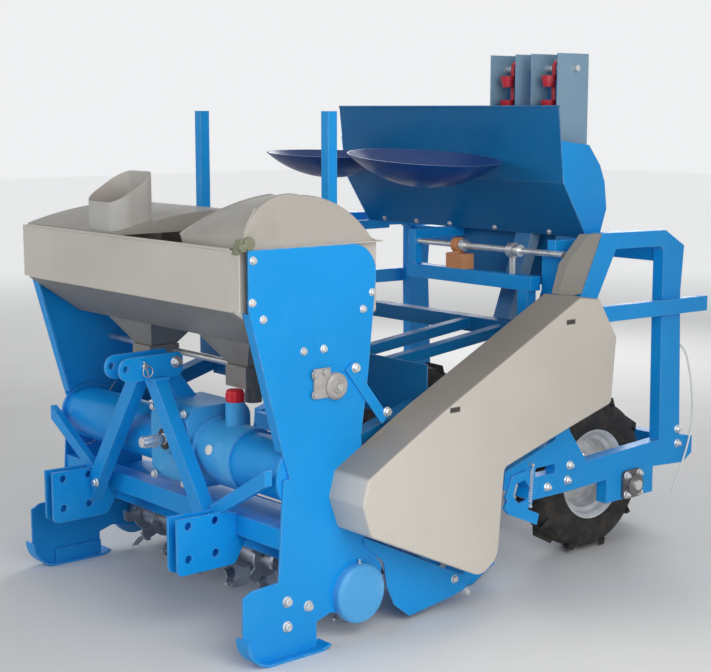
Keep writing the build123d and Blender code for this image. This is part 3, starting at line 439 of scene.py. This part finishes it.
def arc(start, through, end, steps=12):
    """Points of the circle's arc from start through a middle point to end."""
    chord_one, chord_two = through - start, end - start
    normal = chord_one.cross(chord_two)
    to_centre = (chord_two.length_squared * normal.cross(chord_one)
                 + chord_one.length_squared * chord_two.cross(normal)) / (2 * normal.length_squared)
    centre = start + to_centre
    first = start - centre
    angle = first.angle(through - centre) + (through - centre).angle(end - centre)
    axis = normal.normalized()
    return [centre + Matrix.Rotation(angle * step / steps, 4, axis) @ first
            for step in range(steps + 1)]


class Piece:
    """A trim piece under construction: shapes stamped onto places, then one object."""

    def __init__(self, name, finish, body="frame"):
        self.name = name
        self.finish = finish
        self.body = body
        self.bm = bmesh.new()

    def stamp(self, shape, matrix):
        """The shape added to the piece at the seat."""
        shape.transform(matrix)
        mesh = bpy.data.meshes.new("stamp")
        shape.to_mesh(mesh)
        shape.free()
        self.bm.from_mesh(mesh)
        bpy.data.meshes.remove(mesh)

    def turned(self, matrix, profile, steps=24):
        """A shape turned about the z axis from (radius, height) points in metres."""
        shape = bmesh.new()
        verts = [shape.verts.new((radius, 0, height)) for radius, height in profile]
        edges = [shape.edges.new(pair) for pair in zip(verts, verts[1:])]
        bmesh.ops.spin(shape, geom=verts + edges, cent=(0, 0, 0), axis=(0, 0, 1), angle=math.tau,
                       steps=steps, use_merge=True)
        bmesh.ops.remove_doubles(shape, verts=shape.verts, dist=1e-6)
        self.stamp(shape, matrix)

    def bolt(self, matrix, size, stub=0.0):
        """A chamfered hexagon head on a washer, and a thread end where it is a nut."""
        washer = 0.18 * size
        washer_rim = 1.08 * size
        head = washer + 0.68 * size
        head_rim = 0.88 * size
        thread_rim = 0.5 * size
        self.turned(matrix, [(0, washer), (1.02 * size, washer), (washer_rim, 0.6 * washer),
                             (washer_rim, 0)])
        self.turned(matrix, [(0, head), (0.7 * size, head), (head_rim, head - 0.14 * size),
                             (head_rim, washer)], steps=6)
        if stub:
            self.turned(matrix, [(0, head + stub), (0.42 * size, head + stub),
                                 (thread_rim, head + 0.8 * stub), (thread_rim, head)], steps=12)

    def block(self, matrix, size, edge=0.002):
        """A box of the given size centred on the seat, with rounded edges."""
        shape = bmesh.new()
        bmesh.ops.create_cube(shape, size=1.0, matrix=Matrix.Diagonal((*size, 1.0)))
        bmesh.ops.bevel(shape, geom=shape.edges, offset=edge, segments=2, profile=0.5,
                        affect="EDGES", material=-1)
        self.stamp(shape, matrix)

    def finished(self):
        """The piece as an object with its finish, riding on its body."""
        bmesh.ops.recalc_face_normals(self.bm, faces=self.bm.faces)
        piece = object_of(self.bm, self.name)
        piece.data.shade_smooth()
        piece.data.set_sharp_from_angle(angle=math.radians(32))
        return dressed(piece, self.finish, self.body)


def object_of(bm, name):
    """A finished bmesh as a scene object at the origin."""
    mesh = bpy.data.meshes.new(name)
    bm.to_mesh(mesh)
    bm.free()
    piece = bpy.data.objects.new(name, mesh)
    bpy.context.scene.collection.objects.link(piece)
    return piece


def dressed(piece, finish, body):
    """The piece with its finish, riding on its CAD body."""
    piece.data.materials.append(finishes[finish])
    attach(piece, body)
    return piece


def rod_curve(name, radius):
    """An empty round curve with closed ends."""
    curve = bpy.data.curves.new(name, "CURVE")
    curve.dimensions = "3D"
    curve.bevel_depth = radius
    curve.bevel_resolution = 3
    curve.use_fill_caps = True
    return curve


def spline_along(curve, kind, places):
    """A spline of the given kind along the places."""
    spline = curve.splines.new(kind)
    spline.points.add(len(places) - 1)
    for point, place in zip(spline.points, places):
        point.co = (*place, 1.0)
    return spline


def pipes(name, finish, routes, radius, body="frame", closed=False):
    """Round rod or rolled edge along one or more routes of places, as one curve object."""
    curve = rod_curve(name, radius)
    for route in routes:
        spline = spline_along(curve, "POLY", route)
        spline.use_cyclic_u = closed
        spline.use_smooth = True
    piece = bpy.data.objects.new(name, curve)
    bpy.context.scene.collection.objects.link(piece)
    return dressed(piece, finish, body)


# Fittings

# Bolts that each side has: face, turn on the seat, size and thread end as shares of the
# common bolt, and places as (y, z)
SIDE_BOLTS = (
    (PLATE_FACE, 0.3, 0.8, 0.0,
     ((49, 1318), (44, 1186), (86, 1130), (539, 1181), (499, 1128), (247, 1012), (330, 1012))),
    (PLATE_FACE, 0.2, 1.1, 0.0, ((172, 191), (260, 157), (171, 106))),
    (CHEEK_FACE, 0.4, 0.9, 0.0, ((929, 108), (990, 46))),
    (FRAME_FACE, 0.1, 1.0, 0.4,
     ((1467, 395), (1356, 387), (1480, 451), (2134, 497), (2137, 438))),
    (WHEEL_BEARING_FACE, 0.5, 0.95, 0.4,
     tuple((AXLE[0] + y, AXLE[1] + z) for y in (-38, 38) for z in (-38, 38))),
)

# Bolts of single parts, in millimetres: the hitch beam's, the row along the foot of the seed
# hopper's front, the guard stay's as (y, z), the mast's, and the gearbox cover's
BEAM_BOLT = (330, 74.5, 405)
HOPPER_ROW = [(x, 1681.5, 1304) for x in (-520, -312, -107, 156, 453)]
HOPPER_FRONT_OUT = (0, -0.838, -0.546)
STAY_BOLTS = ((460, 935), (600, 768))
MAST_BOLT = (MAST_FACE, 187, 900)
COVER_BOLTS = [(x, 129.5, z) for x in (-10, 180) for z in (492, 600, 738)]
RIM_BOLTS = 5
RIM_BOLT_CIRCLE = 68


class PLANTER_OT_fasteners(bpy.types.Operator):
    """Put the bolts on the plates, the hoppers, the frame and the rims"""

    bl_idname = "planter.fasteners"
    bl_label = "Fasteners"

    def execute(self, context):
        size = context.scene.planter_fitting.bolt
        bolts = Piece("frame_bolts", "steel")
        for side in (1, -1):
            for face, turn, share, stub, places in SIDE_BOLTS:
                for y, z in places:
                    bolts.bolt(seat(spot(side * face, y, z), LEFT * side, turn), share * size,
                               stub * size)
            beam_x, *beam_yz = BEAM_BOLT
            bolts.bolt(seat(spot(side * beam_x, *beam_yz), AHEAD, 0.2), size)
        for place in HOPPER_ROW:
            bolts.bolt(seat(spot(*place), HOPPER_FRONT_OUT, 0.2), 0.65 * size)
        for y, z in STAY_BOLTS:
            bolts.bolt(seat(spot(STAY_FACE, y, z), LEFT), size)
        bolts.bolt(seat(spot(*MAST_BOLT), LEFT, 0.2), 1.3 * size, 0.5 * size)
        for place in COVER_BOLTS:
            bolts.bolt(seat(spot(*place), AHEAD, 0.1), 0.9 * size)
        bolts.finished()
        rims = Piece("rim_bolts", "steel", "wheels")
        for side in (1, -1):
            for turn in ring_turns(RIM_BOLTS, 0.3):
                place = spot(side * RIM_DISC_FACE, AXLE[0] + RIM_BOLT_CIRCLE * math.cos(turn),
                             AXLE[1] + RIM_BOLT_CIRCLE * math.sin(turn))
                rims.bolt(seat(place, LEFT * side), 1.05 * size, 0.5 * size)
        rims.finished()
        return {"FINISHED"}


class PLANTER_OT_bearings(bpy.types.Operator):
    """Fit the housings of the metering shaft's bearings and the rotor's grease nipples"""

    bl_idname = "planter.bearings"
    bl_label = "Bearings"

    def execute(self, context):
        size = context.scene.planter_fitting.bolt
        housing = Piece("metering_bearing", "housing")
        plate_middle, plate_outside, plate_y, plate_z = 705, 710, 318, 900
        hub = [(0.013, 0.030), (0.020, 0.030), (0.024, 0.024), (0.036, 0.024), (0.044, 0.018),
               (0.046, 0.0)]
        for side in (1, -1):
            out = LEFT * side
            place = spot(side * plate_middle, plate_y, plate_z)
            housing.block(seat(place, out), (0.07, 0.10, 0.011), 0.004)
            for y, z in ((-33, 32), (-33, -34), (6, 38)):
                place = spot(side * plate_outside, plate_y + y, plate_z + z)
                housing.bolt(seat(place, out), 0.8 * size)
            housing.turned(seat(spot(side * PLATE_FACE, *METERING_SHAFT), out), hub, 32)
        housing.finished()
        nipples = Piece("grease_nipples", "steel")
        nipple_x, *nipple_yz = 717, 470, 263.5
        nipple = [(0.0, 0.016), (0.003, 0.015), (0.004, 0.011), (0.0025, 0.008), (0.006, 0.006),
                  (0.006, 0.0)]
        for side in (1, -1):
            nipples.turned(seat(spot(side * nipple_x, *nipple_yz)), nipple, 12)
        nipples.finished()
        return {"FINISHED"}


class PLANTER_OT_drive(bpy.types.Operator):
    """Cap the gearbox's riser, spline the stub shaft, seal the cover and add a small white disc on
    it
    """

    bl_idname = "planter.drive"
    bl_label = "Drive"

    def execute(self, context):
        cap = Piece("filler_cap", "cap_red")
        cap_x, cap_y = FILLER_CAP
        cap_radius, cap_foot, rib_middle = 31, 789.5, 806
        cap.turned(seat(spot(cap_x, cap_y, cap_foot)), rolled(cap_radius / 1000, 0.042, 0.008), 28)
        for turn in ring_turns(12):
            place = spot(cap_x + cap_radius * math.cos(turn), cap_y + cap_radius * math.sin(turn),
                         rib_middle)
            cap.block(seat(place, UP, turn), (0.004, 0.006, 0.026), 0.001)
        cap.finished()
        splines = Piece("stub_splines", "steel", "input_shaft")
        stub_x, stub_z = STUB_SHAFT
        stub_radius, stub_middle, seal_face = 17.5, 55, 106.5
        for turn in ring_turns(6):
            place = spot(stub_x + stub_radius * math.cos(turn), stub_middle,
                         stub_z + stub_radius * math.sin(turn))
            splines.block(seat(place, AHEAD, -turn), (0.0045, 0.008, 0.076), 0.001)
        splines.finished()
        seals = Piece("gearbox_seals", "dark")
        seals.turned(seat(spot(stub_x, seal_face, stub_z), AHEAD),
                     [(0.0202, 0.004), (0.036, 0.004), (0.038, 0.002), (0.038, 0.0)], 32)
        seals.finished()
        # A small white disc on the gearbox cover
        white_spot = Piece("cover_white_spot", "white")
        white_spot.turned(seat(spot(308, 142, 634), (0.1, -0.95, 0.3)),
                     [(0.0, 0.003), (0.012, 0.003), (0.016, 0.002), (0.019, 0.0)], 9)
        white_spot.finished()
        return {"FINISHED"}


class PLANTER_OT_hitch(bpy.types.Operator):
    """Hang the linch pin on the mast and the tie wire on the right side plate"""

    bl_idname = "planter.hitch"
    bl_label = "Hitch"

    def execute(self, context):
        pins = Piece("linch_pins", "steel")
        pins.turned(seat(spot(MAST_FACE, 52, 899), LEFT), rolled(0.011, 0.016, 0.003), 20)
        pins.block(seat(spot(60, 58, 888), (0, -0.35, 1)), (0.006, 0.006, 0.062), 0.001)
        pins.finished()
        ring_radius = 20
        ring = [spot(63, 62 - ring_radius * math.cos(turn), 880 + ring_radius * math.sin(turn))
                for turn in ring_turns(20)]
        pipes("linch_ring", "steel", [ring], 0.002, closed=True)
        wire = [spot(-688, 385, 702), spot(-684, 352, 668), spot(-684, 330, 600),
                spot(-684, 318, 540), spot(-684, 298, 486), spot(-686, 262, 466),
                spot(-688, 231, 465)]
        pipes("tie_wire", "white", [wire], 0.002)
        return {"FINISHED"}


class PLANTER_OT_lids(bpy.types.Operator):
    """Roll the edges of the hopper and the left lid, and add the hinges and the catch"""

    bl_idname = "planter.lids"
    bl_label = "Lids"

    def execute(self, context):
        edge = context.scene.planter_fitting.edge
        hinges = Piece("lid_hinges", "steel")
        for x in (400, 620, -120, -365, -610):
            hinges.turned(seat(spot(x - 26, *LID_HINGE), LEFT), rolled(0.005, 0.052, 0.0015), 14)
            hinges.block(seat(spot(x, LID_HINGE[0] + 11, LID_HINGE[1] - 6), UP),
                         (0.046, 0.012, 0.004), 0.001)
        hinges.finished()
        catch = Piece("lid_catch", "olive")
        catch.block(seat(spot(676, 8, 1360), (0, -1, 0.4)), (0.034, 0.05, 0.012), 0.004)
        catch.turned(seat(spot(694, 34, 1371), LEFT), rolled(0.021, 0.014, 0.005), 20)
        catch.turned(seat(spot(694, 8, 1359), LEFT), rolled(0.013, 0.012, 0.004), 16)
        catch.finished()
        front = [spot(x, 0.5, HOPPER_EDGE) for x in (-HOPPER_HALF, -200, 200, HOPPER_HALF)]
        back = [spot(x, 594, HOPPER_EDGE) for x in (-HOPPER_HALF, 0, HOPPER_HALF)]
        pipes("fertilizer_hopper_edge", "grey", [front, back], edge)
        mouth_x = 355
        crown = spot(mouth_x, 379, 1494)
        rise = arc(spot(mouth_x, 12, 1380), spot(mouth_x, 150, 1443), crown)
        fall = arc(crown, spot(mouth_x, 490, 1440), spot(mouth_x, 555, 1352))
        pipes("lid_mouth_edge", "lid_grey_painted_shade", [rise + fall[1:]], 0.9 * edge, "lid_left")
        seam = [spot(689, 22, 1403), spot(689, 40, 1441), spot(689, 66, 1478)]
        pipes("lid_seam", "lid_grey_painted_shade", [seam], 0.5 * edge, "lid_left")
        return {"FINISHED"}


class PLANTER_OT_hoppers(bpy.types.Operator):
    """Roll the front edge of the seed hopper"""

    bl_idname = "planter.hoppers"
    bl_label = "Seed hopper edge"

    def execute(self, context):
        edge = context.scene.planter_fitting.edge
        front = [spot(x, 1517, 1791) for x in (-636, 0, 636)]
        # The edge takes the darker blue copy that stands in as painted shade
        pipes("seed_hopper_edge", "painted_shade_blue", [front], edge)
        return {"FINISHED"}


class PLANTER_OT_spring(bpy.types.Operator):
    """Hang the return spring beside the hexagon ring"""

    bl_idname = "planter.spring"
    bl_label = "Return spring"

    def execute(self, context):
        x, top_y, foot_y = 776, 1256, 1247
        top, foot = spot(x, top_y, 474), spot(x, foot_y, 352)
        radius, hook, turns, steps = 0.0055, 0.016, 20, 10
        line = []
        for step in range(turns * steps + 1):
            turn = math.tau * step / steps
            line.append(top + (foot - top) * step / (turns * steps)
                        + Vector((radius * math.cos(turn), radius * math.sin(turn), 0)))
        hooks = [[top + UP * hook, top + LEFT * radius], [foot + LEFT * radius, foot - UP * hook]]
        pipes("return_spring", "white", [line, *hooks], 0.0014)
        pins = Piece("spring_pins", "steel")
        for y, z in ((top_y, 490), (foot_y, 336)):
            pins.turned(seat(spot(FRAME_FACE, y, z), LEFT), rolled(0.006, 0.024, 0.002), 12)
        pins.finished()
        return {"FINISHED"}


class PLANTER_OT_cable(bpy.types.Operator):
    """Hang the white lead from the outside arm of the left side frame"""

    bl_idname = "planter.cable"
    bl_label = "White lead"

    def execute(self, context):
        route = [(748, 2136.5, 850), (756, 2175, 822), (768, 2193, 738), (776, 2203, 650),
                 (782, 2205, 560), (782, 2193, 472), (780, 2165, 390), (776, 2131, 312),
                 (772, 2094, 237)]
        curve = rod_curve("cable_line", 0.004)
        curve.resolution_u = 16
        spline = spline_along(curve, "NURBS", [spot(*place) for place in route])
        spline.order_u = 3
        spline.use_endpoint_u = True
        cable = bpy.data.objects.new("cable_line", curve)
        context.scene.collection.objects.link(cable)
        dressed(cable, "white", "frame")
        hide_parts("cable")
        return {"FINISHED"}


class PLANTER_OT_finishes(bpy.types.Operator):
    """Give every CAD node its paint, metal, rubber or plastic"""

    bl_idname = "planter.finishes"
    bl_label = "Node finishes"

    def execute(self, context):
        finishes.update(make_finishes(context.scene.planter_finish))
        for name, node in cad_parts.items():
            key = next(finish for word, finish in NODE_FINISHES if name.startswith(word))
            node.data.materials.clear()
            node.data.materials.append(finishes[key])
        return {"FINISHED"}


# Stage

# Each lamp's name, place, the place it faces, its size, its share of the key's power and colour
LAMPS = (
    ("key", (3.5, -1.6, 2.1), (0.6, -0.5, 0.7), 2.6, 1.0, (1.0, 0.99, 0.975)),
    ("front", (-1.5, -7.0, 3.4), (0.0, 0.0, 0.8), 3.5, 1.5, (0.95, 0.98, 1.0)),
    ("roof", (0.5, 0.5, 7.0), (0.0, 0.0, 0.5), 5.0, 0.5, (1.0, 1.0, 1.0)),
    ("behind", (-3.4, 4.4, 3.2), (0.0, 0.6, 0.8), 3.0, 1.3, (0.97, 0.98, 1.0)),
)


def rays_to_eye(tree):
    """1 for rays that reach the eye straight, off metal or through glass, and 0 for the light."""
    rays = tree.nodes.new("ShaderNodeLightPath").outputs
    seen = rays["Is Camera Ray"]
    for way in ("Is Glossy Ray", "Is Transmission Ray"):
        most = tree.nodes.new("ShaderNodeMath")
        most.operation = "MAXIMUM"
        tree.links.new(seen, most.inputs[0])
        tree.links.new(rays[way], most.inputs[1])
        seen = most.outputs[0]
    return seen


def floor_paint(colour):
    """Pale floor that fades into the backdrop far from the planter."""
    s = Shader("floor_paint", Roughness=0.75)
    drift = s.spread(s.noise(0.8, 4.0), 0.3, 0.7)
    s.feed(s.surface, "Base Color", s.blend(drift, rgba(colour, 0.97), rgba(colour, 1.03)))
    away = s.add("ShaderNodeVectorMath", {0: s.place}, operation="LENGTH").outputs["Value"]
    fade = s.spread(away, 3.5, 11.0, 0.0, 0.62)
    s.feed(s.surface, "Emission Color", BACKDROP)
    s.feed(s.surface, "Emission Strength", s.maths(fade, rays_to_eye(s.tree)))
    return s.material


def even_light(strength):
    """World that lights the planter evenly and shows a pale backdrop to the eye."""
    world = bpy.data.worlds.new("even_light")
    world.use_nodes = True
    tree = world.node_tree
    light = tree.nodes["Background"]
    light.inputs["Color"].default_value = (0.93, 0.96, 1.0, 1.0)
    light.inputs["Strength"].default_value = strength
    backdrop = tree.nodes.new("ShaderNodeBackground")
    backdrop.inputs["Color"].default_value = BACKDROP
    mix = tree.nodes.new("ShaderNodeMixShader")
    for socket, source in enumerate((rays_to_eye(tree), light.outputs[0], backdrop.outputs[0])):
        tree.links.new(source, mix.inputs[socket])
    tree.links.new(mix.outputs[0], tree.nodes["World Output"].inputs["Surface"])
    return world


def lamp(name, place, target, size, power, colour):
    """A square lamp at a place that faces the target."""
    data = bpy.data.lights.new(name, "AREA")
    data.shape = "SQUARE"
    data.size = size
    data.energy = power
    data.color = colour
    light = bpy.data.objects.new(name, data)
    bpy.context.scene.collection.objects.link(light)
    light.location = place
    away = Vector(target) - Vector(place)
    light.rotation_euler = away.to_track_quat("-Z", "Y").to_euler()
    return light


class PLANTER_OT_stage(bpy.types.Operator):
    """Set the floor, the lamps and the even light"""

    bl_idname = "planter.stage"
    bl_label = "Stage"

    def execute(self, context):
        settings = context.scene.planter_stage
        bm = bmesh.new()
        bmesh.ops.create_grid(bm, x_segments=1, y_segments=1, size=FLOOR_HALF)
        floor = object_of(bm, "floor")
        floor.data.materials.append(floor_paint(settings.floor))
        context.scene.world = even_light(settings.fill)
        for name, place, target, size, share, colour in LAMPS:
            lamp(name, place, target, size, share * settings.key, colour)
        context.scene.view_settings.view_transform = "Standard"
        return {"FINISHED"}


class PLANTER_OT_camera(bpy.types.Operator):
    """Stand the camera where the photograph was taken from"""

    bl_idname = "planter.camera"
    bl_label = "Camera"

    def execute(self, context):
        settings = context.scene.planter_stage
        data = bpy.data.cameras.new("camera")
        data.lens = settings.lens
        data.sensor_width = SENSOR_WIDTH
        camera = bpy.data.objects.new("camera", data)
        context.scene.collection.objects.link(camera)
        camera.location = settings.camera_place
        camera.rotation_euler = (settings.camera_tilt, 0.0, settings.camera_turn)
        context.scene.camera = camera
        return {"FINISHED"}


class PLANTER_PT_panel(bpy.types.Panel):
    """Steps and settings of the planter's looks"""

    bl_label = "Potato planter"
    bl_space_type = "VIEW_3D"
    bl_region_type = "UI"
    bl_category = "Planter"

    def draw(self, context):
        for operator in OPERATORS:
            self.layout.operator(operator.bl_idname)
        for name in SETTINGS:
            group = getattr(context.scene, name)
            box = self.layout.box()
            for setting in group.__annotations__:
                box.prop(group, setting)


OPERATORS = (
    PLANTER_OT_camera, PLANTER_OT_finishes, PLANTER_OT_cable, PLANTER_OT_fasteners,
    PLANTER_OT_bearings, PLANTER_OT_drive, PLANTER_OT_hitch, PLANTER_OT_lids,
    PLANTER_OT_hoppers, PLANTER_OT_spring, PLANTER_OT_stage,
)
SETTINGS = {
    "planter_finish": PlanterFinishSettings,
    "planter_fitting": PlanterFittingSettings,
    "planter_stage": PlanterStageSettings,
}
CLASSES = (*SETTINGS.values(), *OPERATORS, PLANTER_PT_panel)


def register():
    for cls in CLASSES:
        bpy.utils.register_class(cls)
    for name, group in SETTINGS.items():
        setattr(bpy.types.Scene, name, PointerProperty(type=group))


def unregister():
    for name in SETTINGS:
        delattr(bpy.types.Scene, name)
    for cls in reversed(CLASSES):
        bpy.utils.unregister_class(cls)


def main():
    register()
    for operator in OPERATORS:
        family, step = operator.bl_idname.split(".")
        getattr(getattr(bpy.ops, family), step)()


if __name__ == "__main__":
    main()
